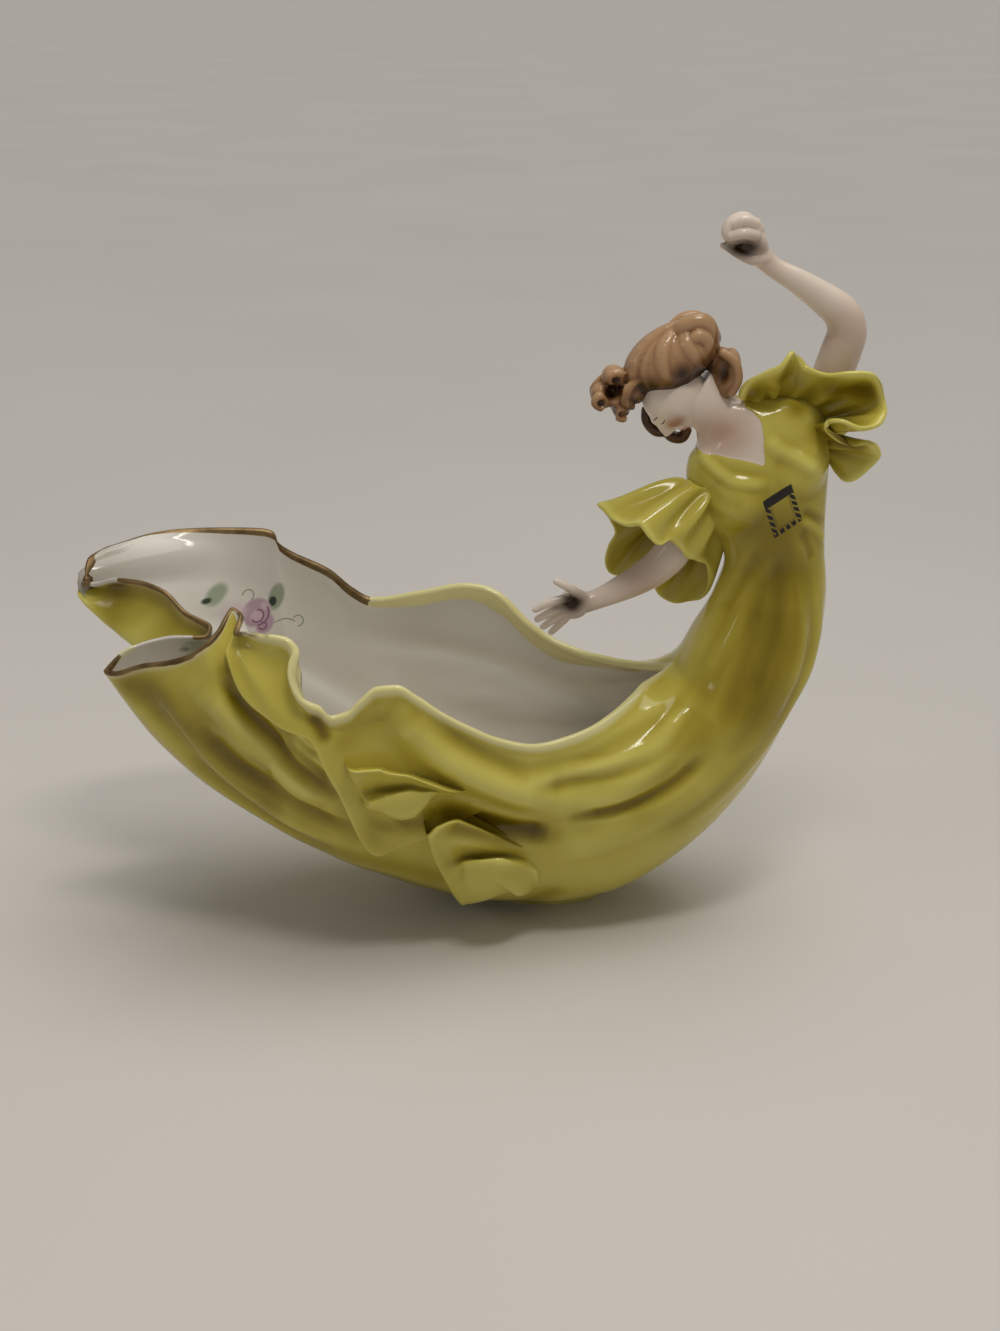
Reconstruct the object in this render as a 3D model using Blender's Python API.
"""Porcelain centrepiece: a lady leans back and her long skirt sweeps round into a boat-shaped bowl.

The near side is -Y, the bowl's open hem points to -X and +Z is up. The origin is the middle of the flat foot.
The free form is drawn for a piece 300 mm long in design millimetres, and UNIT turns them into metres.
"""

import bmesh
import bpy
import numpy as np
from mathutils import Matrix, Vector

# Driving sizes, in metres
LENGTH = 0.300
WALL = 0.0034
FOOT_LENGTH = 0.058
FOOT_WIDTH = 0.030
FOOT_HEIGHT = 0.0040
CELL = 0.0013
TRIANGLES = 9300

UNIT = LENGTH / 300
# Where the middle of the foot's underside lies in the drawing
ORIGIN = np.array([10.0, 0.0, 4.5])

# The trunk is a fan of sections, numbered from the neck (0) down to the hem of the bowl (24).
# Each row: back or keel x, z; half-width; half-angle of the section, 180 where it is closed
TRUNK = np.array([
    (68.0, 223.0, 8.0, 180),
    (77.5, 213.5, 8.4, 180),
    (87.0, 213.5, 9.5, 180),
    (97.0, 214.0, 11.5, 180),
    (105.5, 211.5, 13.0, 180),
    (111.0, 203.0, 14.5, 180),
    (113.5, 190.0, 15.5, 180),
    (113.5, 173.0, 14.5, 180),
    (114.5, 155.0, 14.5, 180),
    (116.0, 136.0, 19.0, 180),
    (114.0, 114.0, 26.0, 180),
    (105.5, 93.5, 32.0, 180),
    (95.5, 70.0, 37.0, 145),
    (80.0, 46.0, 41.0, 120),
    (59.5, 24.8, 44.0, 105),
    (36.0, 10.5, 46.0, 98),
    (12.0, 5.5, 48.0, 94),
    (-12.0, 6.2, 50.0, 92),
    (-37.0, 12.0, 52.0, 90),
    (-62.5, 22.5, 54.0, 90),
    (-86.5, 35.0, 54.0, 90),
    (-108.0, 49.0, 53.0, 90),
    (-126.0, 65.0, 51.0, 90),
    (-140.0, 84.0, 47.0, 90),
    (-152.0, 108.0, 40.0, 90),
])
HEM = len(TRUNK) - 1
CAVITY_TOP = 5.5

# The front line of the closed part and both rims of the open part: station, x, y, z
FRONT = [
    (0, 56.0, 0, 206.0), (1, 63.5, 0, 200.0), (2, 64.0, 0, 194.5), (3, 61.5, 0, 189.5), (4, 61.0, 0, 184.5),
    (5, 62.5, 0, 176.0), (6, 66.5, 0, 167.0), (7, 74.0, 0, 160.0), (8, 77.0, 0, 150.0), (9, 73.8, 0, 137.0),
    (10, 66.5, 0, 121.5), (11, 59.5, 0, 108.0),
]
NEAR_RIM = np.array(FRONT + [
    (11.5, 54, -8, 107.0), (12, 47, -18, 106.5), (12.5, 41, -26, 103.5), (13, 34, -33, 100.0),
    (13.5, 26, -39, 97.0), (14, 17, -43, 94.8), (14.5, 8, -46, 93.5), (15, -1, -49, 95.0),
    (15.5, -9, -50, 97.5), (16, -16, -51, 101.0), (17, -29, -52, 108.5), (17.6, -38, -53, 115.5),
    (18, -45, -54, 120.0), (18.35, -52, -54, 119.4), (18.7, -58, -55, 115.0), (19, -63, -56, 110.5),
    (19.3, -68.5, -57, 109.3), (19.6, -72.5, -58, 113.5), (20.1, -79, -57.5, 117.5), (20.5, -82.5, -54, 126.0),
    (20.8, -82, -50.5, 132.0), (21.2, -85, -48.5, 136.0), (21.8, -91, -48, 137.0), (24, -103, -44, 137.0),
])
FAR_RIM = np.array(FRONT + [
    (11.5, 53, 8, 103.5), (12, 44, 19, 100.0), (12.5, 37, 26, 98.5), (13, 29, 32, 98.0),
    (13.5, 20, 37, 99.5), (14, 12, 40, 102.5), (14.5, 4, 42, 108.0), (15.5, -8, 46, 118.6),
    (16, -15, 48, 121.0), (16.5, -22, 49, 121.5), (17.5, -41, 51, 117.5), (18.6, -62, 54, 113.3),
    (19, -70, 54.5, 117.5), (19.5, -79.4, 55, 125.5), (20.4, -97, 55, 134.5), (20.6, -101, 55, 138.0),
    (20.8, -102.5, 55, 142.0), (21.2, -108, 54.5, 143.5), (22.8, -138, 49, 145.0), (23.4, -151, 45, 144.2),
    (24, -166, 34, 142.0),
])

# The fluted hem at the bowl's open end: place across the section from -1 (far) to 1 (near), x, y, z
HEM_LINE = np.array([
    (-1.00, -166.0, 34, 142.0), (-0.92, -171.5, 24, 141.0), (-0.86, -172.5, 16, 134.0),
    (-0.80, -167.0, 12, 134.8), (-0.72, -157.4, 8, 138.3), (-0.62, -148.9, 5, 138.6),
    (-0.52, -138.5, 1, 136.3), (-0.42, -129.7, -3, 129.0), (-0.32, -120.0, -8, 125.5),
    (-0.22, -120.5, -13, 124.5), (-0.12, -133.0, -19, 126.5), (0.02, -145.9, -26, 124.7),
    (0.15, -154.9, -32, 117.6), (0.26, -150.0, -37, 118.5), (0.38, -138.0, -40, 123.1),
    (0.50, -129.1, -42, 125.1), (0.60, -121.4, -43, 127.9), (0.70, -115.2, -44, 132.2),
    (0.78, -110.0, -40, 136.5), (0.86, -105.5, -33, 143.0), (0.93, -103.0, -37, 139.9),
    (1.00, -103.0, -44, 137.0),
])
FLUTE_START = 19.3

# Folds of the cloth: half-width, height (a groove is negative), then its line as station and place across
FOLDS = [
    (4.5, -1.6, [(17.6, 0.97), (16.8, 0.96), (15.6, 0.93), (15.0, 0.92), (13.9, 0.92), (12.2, 0.85), (10.9, 0.83)]),
    (5.0, 1.8, [(14.9, 0.90), (14.2, 0.89), (13.5, 0.86), (12.9, 0.84), (12.2, 0.81), (11.0, 0.77), (9.9, 0.78)]),
    (4.5, -1.4, [(15.1, 0.85), (14.1, 0.85), (13.3, 0.81), (12.7, 0.77)]),
    (6.0, 1.8, [(16.0, 0.79), (14.8, 0.80), (13.8, 0.78), (13.0, 0.75), (12.0, 0.72), (10.7, 0.69), (9.7, 0.69)]),
    (4.5, -2.4, [(14.6, 0.76), (14.0, 0.72), (13.4, 0.68), (13.0, 0.67), (12.2, 0.64)]),
    (7.0, 2.2, [(14.9, 0.73), (14.1, 0.68), (13.2, 0.63), (12.5, 0.59), (11.5, 0.55), (10.5, 0.53)]),
    (9.0, -3.0, [(7.8, 0.51), (8.6, 0.60), (9.7, 0.59), (10.8, 0.60), (12.2, 0.64), (13.0, 0.67)]),
    (6.0, 2.2, [(7.6, 0.45), (8.5, 0.40), (9.3, 0.38), (10.2, 0.43), (11.3, 0.49), (12.5, 0.59)]),
    (5.0, -1.6, [(8.0, 0.26), (9.1, 0.30), (10.0, 0.29), (11.0, 0.39), (12.1, 0.48), (13.3, 0.58), (14.6, 0.61)]),
    (6.0, 1.6, [(8.7, 0.16), (9.5, 0.18), (10.3, 0.20), (10.9, 0.32), (12.1, 0.43), (13.1, 0.52), (14.4, 0.55)]),
    (4.5, 1.6, [(7.1, 0.41), (7.9, 0.35), (9.1, 0.38)]),
    (4.0, -1.6, [(7.1, 0.48), (7.8, 0.53), (9.2, 0.56)]),
    (5.0, 1.6, [(7.2, 0.54), (8.2, 0.61), (9.2, 0.67), (10.2, 0.70), (11.5, 0.77)]),
    (4.5, -1.4, [(8.2, 0.66), (9.3, 0.75), (10.2, 0.81)]),
    (11.0, 3.4, [(18.2, 0.95), (17.8, 0.92), (17.2, 0.89), (15.9, 0.86), (14.7, 0.86)]),
    (5.0, -1.8, [(22.7, 0.49), (21.8, 0.52), (21.2, 0.54), (20.5, 0.58), (19.7, 0.60), (19.1, 0.64)]),
    (4.5, -2.0, [(22.2, 0.77), (21.2, 0.74), (20.5, 0.78), (19.9, 0.81), (19.4, 0.82)]),
    (5.5, 2.0, [(23.5, 0.74), (22.1, 0.71), (21.0, 0.66), (20.1, 0.71), (19.4, 0.71), (19.0, 0.67)]),
    (6.5, 1.8, [(23.8, 0.47), (23.0, 0.51), (21.9, 0.50), (21.0, 0.49), (20.0, 0.53), (19.1, 0.54)]),
    (6.0, -1.6, [(23.7, 0.31), (22.7, 0.35), (21.8, 0.35), (20.8, 0.33), (19.9, 0.42)]),
    (11.0, 4.5, [(5.2, 0.68), (5.7, 0.66)]),
    (11.0, 4.5, [(4.9, 0.33), (5.5, 0.30)]),
]

# The overskirt's hem: station, place across and height over the skirt at the hem, then station and place of its root
OVERSKIRT = np.array([
    (23.8, 0.78, 2.0, 23.8, 1.00), (22.8, 0.79, 3.0, 22.6, 1.00), (21.8, 0.79, 3.6, 21.4, 1.00),
    (20.9, 0.80, 3.6, 20.4, 1.00), (20.1, 0.87, 3.0, 19.9, 0.99), (19.6, 0.93, 2.2, 19.2, 0.99),
    (19.35, 0.91, 1.8, 18.2, 0.96), (19.25, 0.87, 4.0, 17.4, 0.90), (19.1, 0.83, 7.5, 16.9, 0.84),
    (19.0, 0.77, 9.0, 16.8, 0.82), (18.8, 0.71, 9.5, 16.8, 0.81), (18.6, 0.67, 7.0, 16.8, 0.79),
    (18.5, 0.62, 2.0, 16.3, 0.77), (18.7, 0.56, 2.6, 15.8, 0.75), (18.75, 0.50, 4.2, 15.4, 0.73),
    (18.6, 0.47, 4.6, 15.2, 0.71), (18.4, 0.52, 2.6, 15.2, 0.70), (18.1, 0.57, 2.4, 15.3, 0.69),
    (17.9, 0.61, 5.5, 15.5, 0.67), (17.8, 0.60, 9.0, 15.6, 0.65), (17.7, 0.53, 10.0, 15.6, 0.64),
    (17.6, 0.44, 9.0, 15.5, 0.62), (17.4, 0.36, 8.0, 15.4, 0.60), (17.2, 0.27, 7.0, 15.4, 0.58),
    (16.8, 0.30, 7.0, 15.3, 0.57), (16.3, 0.36, 6.0, 15.2, 0.57), (15.9, 0.46, 4.0, 15.0, 0.58),
])

# Puffed and trumpet sleeves: middle of the root, share of the rim's size at the root, and the rim itself
RIGHT_SLEEVE = (
    (68.0, 0.0, 176.0), 0.40,
    np.array([
        (28.3, -2, 173.4), (30.9, -10, 169.8), (36.1, -18, 174.3), (42.3, -22, 174.0), (49.4, -24, 165.2),
        (57.5, -22, 167.6), (63.2, -17, 157.8), (69.4, -10, 153.7), (73.2, -2, 151.0), (69.5, 8, 139.0),
        (66.7, 12, 135.2), (60.6, 14, 129.0), (52.7, 16, 132.0), (46.8, 18, 137.6), (39.4, 16, 142.1),
        (33.7, 12, 141.8), (34.7, 8, 153.5), (31.1, 4, 162.8),
    ]),
)
LEFT_FLOUNCE = (
    (103.0, 0.0, 204.0), 0.55,
    np.array([
        (79.5, -8, 213.5), (82.0, -11, 220.5), (89.2, -13, 225.0), (95.3, -16, 231.3), (100.5, -14, 226.2),
        (106.8, -12, 222.9), (116.0, -12, 225.1), (124.4, -10, 223.2), (129.8, -8, 216.0), (129.8, -12, 210.2),
        (121.4, -18, 210.3), (114.3, -17, 212.0), (121.0, -17, 204.6), (127.9, -14, 197.3), (124.8, -12, 190.6),
        (119.3, -9, 184.4), (114.6, -5, 187.8), (115.2, 4, 194.1), (120.0, 12, 199.6), (122.4, 16, 207.3),
        (117.3, 17, 212.4), (108.1, 15, 214.4), (97.7, 13, 214.1), (88.7, 9, 212.1), (81.7, 1, 211.0),
    ]),
)

# Arms from shoulder to wrist: x, y, z, radius
LEFT_ARM = np.array([
    (103.0, 0, 206.0, 9.0), (112.0, 1, 217.3, 8.2), (115.4, 1, 226.5, 7.4), (117.4, 0, 234.0, 6.9),
    (117.2, -1, 239.6, 6.7), (111.8, -2, 246.6, 6.3), (103.9, -3, 250.3, 5.5), (93.8, -3, 256.5, 4.2),
    (84.9, -3, 261.9, 3.5), (80.6, -3, 265.4, 3.9),
])
RIGHT_ARM = np.array([
    (68.0, 0, 180.0, 9.0), (62.6, -2, 171.0, 8.2), (58.5, -3, 161.0, 7.4), (55.1, -4, 152.6, 7.0),
    (50.3, -5, 147.0, 6.6), (44.7, -6, 143.4, 6.0), (37.1, -7, 140.4, 4.9), (28.8, -8, 137.0, 3.7),
    (23.0, -9, 136.0, 3.9),
])

# Palms: middle, half-sizes, the way the fingers point and the way the palm faces
LEFT_PALM = ((77.6, -3.5, 270.3), (5.6, 4.8, 3.2), (-0.45, 0.0, 0.9), (-0.9, -0.1, -0.4))
RIGHT_PALM = ((17.0, -9.5, 133.6), (6.4, 4.8, 2.6), (-0.95, 0.05, -0.3), (0.1, -0.75, 0.65))

# Fingers as bent rods: radius, then points
FINGERS = [
    (1.7, [(78.0, -7.5, 274.0), (73.0, -8.0, 275.0), (69.5, -8.0, 271.0), (70.5, -7.0, 266.5)]),
    (1.7, [(77.0, -4.5, 275.0), (71.5, -4.5, 276.0), (68.5, -4.5, 271.5), (70.0, -4.0, 266.5)]),
    (1.7, [(77.0, -1.5, 275.0), (71.8, -1.0, 275.5), (69.0, -1.0, 271.0), (70.6, -1.0, 266.5)]),
    (1.5, [(77.0, 1.0, 273.5), (73.0, 2.0, 274.0), (70.4, 2.2, 270.0), (71.8, 2.0, 266.5)]),
    (1.8, [(80.5, -6.5, 265.5), (76.0, -8.0, 264.5), (71.8, -7.0, 265.0)]),
    (1.5, [(14.0, -12.5, 136.0), (9.0, -13.5, 134.2), (3.8, -13.5, 134.0)]),
    (1.5, [(13.0, -10.5, 133.5), (7.5, -11.0, 130.5), (3.2, -11.0, 129.2)]),
    (1.5, [(13.0, -8.0, 131.5), (8.5, -8.0, 127.6), (5.2, -8.0, 124.8)]),
    (1.4, [(14.5, -6.0, 130.0), (11.5, -5.5, 126.0), (9.4, -5.0, 122.4)]),
    (1.7, [(22.0, -11.5, 136.5), (17.5, -13.5, 141.0), (12.8, -13.5, 145.6)]),
]

# Head and hair as rounded lumps: middle, half-sizes, and turn about Y in degrees
HEAD = ((55.0, -1.0, 212.0), (15.5, 11.5, 12.5), 35)
HAIR = [
    ((55.0, 1.0, 224.5), (18.5, 15.0, 12.5), -12),
    ((62.0, 1.0, 235.5), (9.0, 8.5, 7.5), -10),
    ((73.0, -2.0, 223.5), (6.0, 8.5, 8.5), 0),
    ((33.0, -1.0, 217.5), (6.0, 9.0, 8.0), 20),
    ((29.0, -3.0, 213.0), (4.5, 5.0, 5.5), 0),
    ((34.0, -5.0, 209.5), (4.0, 4.5, 4.0), 0),
    ((52.5, 6.0, 202.0), (7.5, 6.0, 5.0), 20),
]


def smooth(knots, values, at):
    """Values at the given places on a soft curve through the knots that doesn't overshoot them."""
    knots, values, at = (np.asarray(v, float) for v in (knots, values, at))
    gap = np.diff(knots)
    slope = np.diff(values) / gap
    tangent = np.zeros_like(values)
    turn = slope[:-1] * slope[1:]
    mean = np.where(np.abs(slope[:-1] + slope[1:]) > 1e-9, slope[:-1] + slope[1:], 1)
    tangent[1:-1] = np.where(turn > 0, 2 * turn / mean, 0)
    tangent[0], tangent[-1] = slope[0], slope[-1]
    i = np.clip(np.searchsorted(knots, at, "right") - 1, 0, len(gap) - 1)
    h = gap[i]
    t = np.clip((at - knots[i]) / h, 0, 1)
    return (
        (1 + 2 * t) * (1 - t) ** 2 * values[i] + t * (1 - t) ** 2 * h * tangent[i]
        + t**2 * (3 - 2 * t) * values[i + 1] + t**2 * (t - 1) * h * tangent[i + 1]
    )


def curve(rows, at):
    """Points at the given places of a line whose rows are place, x, y, z."""
    rows = np.asarray(rows, float)
    return np.stack([smooth(rows[:, 0], rows[:, i], at) for i in range(1, rows.shape[1])], -1)


def spline(points, count, closed=False):
    """Evenly counted points of a round curve through the given ones."""
    points = np.asarray(points, float)
    n = len(points)
    spans = n if closed else n - 1
    at = np.linspace(0, spans, count, endpoint=not closed)
    i = np.minimum(at.astype(int), spans - 1)
    t = (at - i)[:, None]

    def pick(k):
        if closed:
            return points[k % n]
        inside = points[np.clip(k, 0, n - 1)]
        before, after = 2 * points[0] - points[1], 2 * points[-1] - points[-2]
        return np.where((k < 0)[:, None], before, np.where((k > n - 1)[:, None], after, inside))

    a, b, c, d = pick(i - 1), pick(i), pick(i + 1), pick(i + 2)
    return 0.5 * (2 * b + (c - a) * t + (2 * a - 5 * b + 4 * c - d) * t**2 + (3 * b - a - 3 * c + d) * t**3)


def unit(vectors):
    return vectors / np.maximum(np.linalg.norm(vectors, axis=-1, keepdims=True), 1e-9)


def trunk_base(station, across):
    """The trunk without folds; station and across are arrays of one shape."""
    rows = np.arange(len(TRUNK))
    keel_x, keel_z, width, stop = (smooth(rows, TRUNK[:, i], station) for i in range(4))
    keel = np.stack([keel_x, np.zeros_like(station), keel_z], -1)
    near, far = curve(NEAR_RIM, station), curve(FAR_RIM, station)
    stop = np.radians(stop)
    middle = (near + far) / 2
    middle[..., 1] = 0
    rise = unit(middle - keel)

    def half(rim, side):
        share = np.clip(across * side, 0, 1)
        height = ((rim - keel) * rise).sum(-1) / (1 - np.cos(stop))

        def ring(angle):
            points = keel + rise * (height * (1 - np.cos(angle)))[..., None]
            points[..., 1] -= side * width * np.clip(np.sin(angle), 0, 1) ** 0.85
            return points

        return ring(share * stop) + (rim - ring(stop)) * share[..., None] ** 2.5

    return np.where((across >= 0)[..., None], half(near, 1), half(far, -1))


def trunk_plain(station, across):
    """The trunk with its fluted hem."""
    points = trunk_base(station, across)
    flute = curve(HEM_LINE, across) - trunk_base(np.full_like(station, HEM), across)
    pull = np.clip((station - FLUTE_START) / (HEM - FLUTE_START), 0, 1) ** 1.8
    return points + flute * pull[..., None]


def along(points, line):
    """Distance from each point to a line of points, and how far along it the nearest place is, 0 to 1."""
    best = np.full(points.shape[:-1], 1e9)
    place = np.zeros(points.shape[:-1])
    lengths = np.linalg.norm(np.diff(line, axis=0), axis=1)
    total, run = lengths.sum(), 0
    for a, b, length in zip(line[:-1], line[1:], lengths):
        t = np.clip(((points - a) @ (b - a)) / max(length**2, 1e-9), 0, 1)
        away = np.linalg.norm(points - a - t[..., None] * (b - a), axis=-1)
        closer = away < best
        best = np.where(closer, away, best)
        place = np.where(closer, (run + t * length) / total, place)
        run += length
    return best, place


def normals(points):
    """Outward normals of a grid whose rows run down the trunk and columns from far to near."""
    down = np.gradient(points, axis=0)
    over = np.gradient(points, axis=1)
    return unit(np.cross(over, down))


def fold_lift(points, folds):
    """Height of the folds over the plain surface."""
    lift = np.zeros(points.shape[:-1])
    for width, height, line in folds:
        marks = np.array(line, float)
        path = trunk_plain(marks[:, 0], marks[:, 1])
        away, place = along(points, spline(path, 4 * len(path)))
        ends = np.clip(np.minimum(place, 1 - place) * 6 + 0.15, 0, 1)
        lift += height * ends * np.clip(1 - (away / width) ** 2, 0, 1) ** 2
    return lift


def trunk_grid(first, last, rows, columns):
    """Points and outward normals of the folded trunk between two stations."""
    station, across = np.meshgrid(np.linspace(first, last, rows), np.linspace(-1, 1, columns), indexing="ij")
    points = trunk_plain(station, across)
    points = points + normals(points) * fold_lift(points, FOLDS)[..., None]
    return points, normals(points)


class Body:
    """Vertices and faces of closed shells, gathered for one mesh."""

    def __init__(self):
        self.points, self.faces = [], []

    def add(self, points, faces):
        start = len(self.points)
        self.points.extend(np.asarray(points, float).reshape(-1, 3).tolist())
        self.faces.extend([tuple(start + i for i in face) for face in faces])

    def sheet(self, outer, inner):
        """A thin closed sheet between two grids of the same shape."""
        rows, columns = outer.shape[:2]
        number = np.arange(rows * columns).reshape(rows, columns)
        faces = []
        for r in range(rows - 1):
            for c in range(columns - 1):
                a, b, d, e = number[r, c], number[r, c + 1], number[r + 1, c + 1], number[r + 1, c]
                faces.append((a, b, d, e))
                faces.append(tuple(i + rows * columns for i in (e, d, b, a)))
        edge = (
            list(number[0, ::-1]) + list(number[1:, 0]) + list(number[-1, 1:]) + list(number[-2:0:-1, -1])
        )
        for a, b in zip(edge, edge[1:] + edge[:1]):
            faces.append((a, b, b + rows * columns, a + rows * columns))
        self.add(np.concatenate([outer.reshape(-1, 3), inner.reshape(-1, 3)]), faces)

    def loft(self, rings):
        """A closed skin over rings of equal count, ends closed by a flat fan."""
        rings = np.asarray(rings, float)
        count, size = rings.shape[:2]
        points = np.concatenate([rings.reshape(-1, 3), rings[:1].mean(1), rings[-1:].mean(1)])
        faces = []
        for r in range(count - 1):
            for c in range(size):
                n = (c + 1) % size
                faces.append((r * size + c, r * size + n, (r + 1) * size + n, (r + 1) * size + c))
        for c in range(size):
            n = (c + 1) % size
            faces.append((n, c, count * size))
            faces.append(((count - 1) * size + c, (count - 1) * size + n, count * size + 1))
        self.add(points, faces)

    def rod(self, path, radii, size=12):
        """A round bar along a path, with rounded ends."""
        path, radii = np.asarray(path, float), np.asarray(radii, float)
        heading = unit(np.gradient(path, axis=0))
        start, end = path[0] - heading[0] * radii[0] * 0.8, path[-1] + heading[-1] * radii[-1] * 0.8
        path = np.concatenate([[start], path, [end]])
        radii = np.concatenate([[radii[0] * 0.45], radii, [radii[-1] * 0.45]])
        heading = np.concatenate([heading[:1], heading, heading[-1:]])
        side = unit(np.cross(heading, np.array([0.13, 0.97, 0.21])))
        other = np.cross(heading, side)
        turn = np.linspace(0, 2 * np.pi, size, endpoint=False)
        rings = (
            path[:, None] + radii[:, None, None] * (
                np.cos(turn)[None, :, None] * side[:, None] + np.sin(turn)[None, :, None] * other[:, None]
            )
        )
        self.loft(rings)

    def lump(self, middle, sizes, frame, size=20):
        """A rounded lump with half-sizes along the rows of frame."""
        tilt = np.linspace(0, np.pi, size // 2 + 1)[1:-1]
        turn = np.linspace(0, 2 * np.pi, size, endpoint=False)
        ball = np.stack([
            np.sin(tilt)[:, None] * np.cos(turn), np.sin(tilt)[:, None] * np.sin(turn),
            np.repeat(np.cos(tilt)[:, None], size, 1),
        ], -1)
        self.loft(np.asarray(middle) + (ball * np.asarray(sizes)) @ np.asarray(frame))

    def mesh(self, name):
        mesh = bpy.data.meshes.new(name)
        placed = (np.array(self.points) - ORIGIN) * UNIT
        mesh.from_pydata(placed.tolist(), [], self.faces)
        work = bmesh.new()
        work.from_mesh(mesh)
        bmesh.ops.recalc_face_normals(work, faces=work.faces)
        work.to_mesh(mesh)
        work.free()
        return mesh


def turned(degrees):
    """Axes of a frame turned about Y, so that positive degrees lift the +X end."""
    a = np.radians(degrees)
    return np.array([(np.cos(a), 0, np.sin(a)), (0, 1, 0), (-np.sin(a), 0, np.cos(a))])


def palm_frame(pointing, facing):
    """Axes of a palm: along the fingers, across it and out of its face."""
    lengthwise = unit(np.array(pointing, float))
    out = np.array(facing, float)
    out = unit(out - lengthwise * (out @ lengthwise))
    return np.array([lengthwise, np.cross(out, lengthwise), out])


def flared(sleeve, rows, columns):
    """Outer grid of a flared sleeve from its root to its wavy rim."""
    root, share, rim = sleeve
    rim = spline(rim, columns, closed=True)
    middle = rim.mean(0)
    spread = rim - middle
    calm = sum(np.roll(spread, k, 0) for k in range(-2, 3)) / 5
    t = np.linspace(0, 1, rows)[:, None, None]
    size = share + (1 - share) * t**1.3
    core = np.asarray(root) + (middle - np.asarray(root)) * t
    return core + (calm + (spread - calm) * t**2) * size


def skirt_and_torso(body, wall):
    """The hollow skirt with the bowl, and the solid torso above it."""
    outer, out = trunk_grid(CAVITY_TOP, HEM, 110, 61)
    body.sheet(outer, outer - out * wall)
    torso, _ = trunk_grid(0.0, CAVITY_TOP + 0.5, 20, 33)
    body.loft(torso[:, :-1])


def overskirt(body, wall):
    """The second layer of cloth, with its folds falling in steps down the near side."""
    rows = np.arange(len(OVERSKIRT))
    place = np.linspace(0, len(OVERSKIRT) - 1, 110)
    hem_s, hem_v, height, root_s, root_v = (smooth(rows, OVERSKIRT[:, i], place) for i in range(5))
    share = np.linspace(0, 1, 14)[:, None]
    station = root_s + (hem_s - root_s) * share
    across = root_v + (hem_v - root_v) * share
    ground = trunk_plain(station, across)
    nudge = 0.02
    down = trunk_plain(station + nudge, across) - trunk_plain(station - nudge, across)
    over = trunk_plain(station, np.minimum(across + nudge, 1)) - trunk_plain(station, across - nudge)
    out = unit(np.cross(over, down))
    lift = fold_lift(ground, FOLDS) - wall * 0.3 * (1 - share) + height * share**0.8
    outer = ground + out * lift[..., None]
    body.sheet(outer, outer - out * wall * 0.8)


def figure(body, wall):
    """Sleeves, arms, hands, head and hair."""
    for sleeve in (RIGHT_SLEEVE, LEFT_FLOUNCE):
        outer = flared(sleeve, 8, 54)
        loop = np.concatenate([outer, outer[:, :1]], 1)
        out = normals(loop)
        middle = loop[:, :-1].mean(1)[:, None]
        sign = np.sign(((loop - middle) * out).sum(-1).mean())
        body.sheet(loop, loop - sign * out * wall * 0.75)
    for arm in (LEFT_ARM, RIGHT_ARM):
        path = spline(arm, 5 * len(arm))
        body.rod(path[:, :3], path[:, 3], 16)
    for middle, sizes, pointing, facing in (LEFT_PALM, RIGHT_PALM):
        body.lump(middle, sizes, palm_frame(pointing, facing), 16)
    for radius, points in FINGERS:
        path = spline(points, 4 * len(points))
        body.rod(path, np.full(len(path), radius), 8)
    for middle, sizes, degrees in [HEAD] + HAIR:
        body.lump(middle, sizes, turned(degrees))


def foot(body):
    """The low oval foot, reaching a little below the ground so that it can be cut flat."""
    turn = np.linspace(0, 2 * np.pi, 48, endpoint=False)
    oval = np.stack([np.cos(turn) * FOOT_LENGTH / 2, np.sin(turn) * FOOT_WIDTH / 2, np.zeros(48)], -1) / UNIT
    sunk, high = np.array([0, 0, -3.0]), np.array([0, 0, FOOT_HEIGHT / UNIT])
    body.loft([ORIGIN + oval + sunk, ORIGIN + oval + high])


def material():
    porcelain = bpy.data.materials.new("glazed_porcelain")
    porcelain.use_nodes = True
    shader = porcelain.node_tree.nodes["Principled BSDF"]
    shader.inputs["Base Color"].default_value = (0.60, 0.56, 0.13, 1)
    shader.inputs["Roughness"].default_value = 0.12
    shader.inputs["Metallic"].default_value = 0.0
    return porcelain


def main():
    for item in list(bpy.data.objects):
        bpy.data.objects.remove(item)
    body = Body()
    skirt_and_torso(body, WALL / UNIT)
    overskirt(body, WALL / UNIT)
    figure(body, WALL / UNIT)
    foot(body)
    bowl = bpy.data.objects.new("figural_bowl", body.mesh("figural_bowl"))
    bpy.context.collection.objects.link(bowl)
    bowl.data.materials.append(material())

    floor_mesh = bpy.data.meshes.new("floor_cutter")
    work = bmesh.new()
    bmesh.ops.create_cube(work, size=1.0, matrix=Matrix.Diagonal((2 * LENGTH, LENGTH, 0.1 * LENGTH, 1)))
    bmesh.ops.translate(work, verts=work.verts, vec=Vector((0, 0, -0.05 * LENGTH)))
    work.to_mesh(floor_mesh)
    work.free()
    cutter = bpy.data.objects.new("floor_cutter", floor_mesh)
    bpy.context.collection.objects.link(cutter)
    cutter.hide_render = True
    cutter.display_type = "WIRE"

    weld = bowl.modifiers.new("one_casting", "REMESH")
    weld.mode = "VOXEL"
    weld.voxel_size = CELL
    bpy.context.view_layer.update()
    dense = len(bowl.evaluated_get(bpy.context.evaluated_depsgraph_get()).data.polygons) * 2
    thin = bowl.modifiers.new("facets", "DECIMATE")
    thin.ratio = min(1.0, TRIANGLES / dense)
    flat = bowl.modifiers.new("flat_foot", "BOOLEAN")
    flat.operation = "DIFFERENCE"
    flat.solver = "EXACT"
    flat.object = cutter
    bowl.data.shade_smooth()


main()
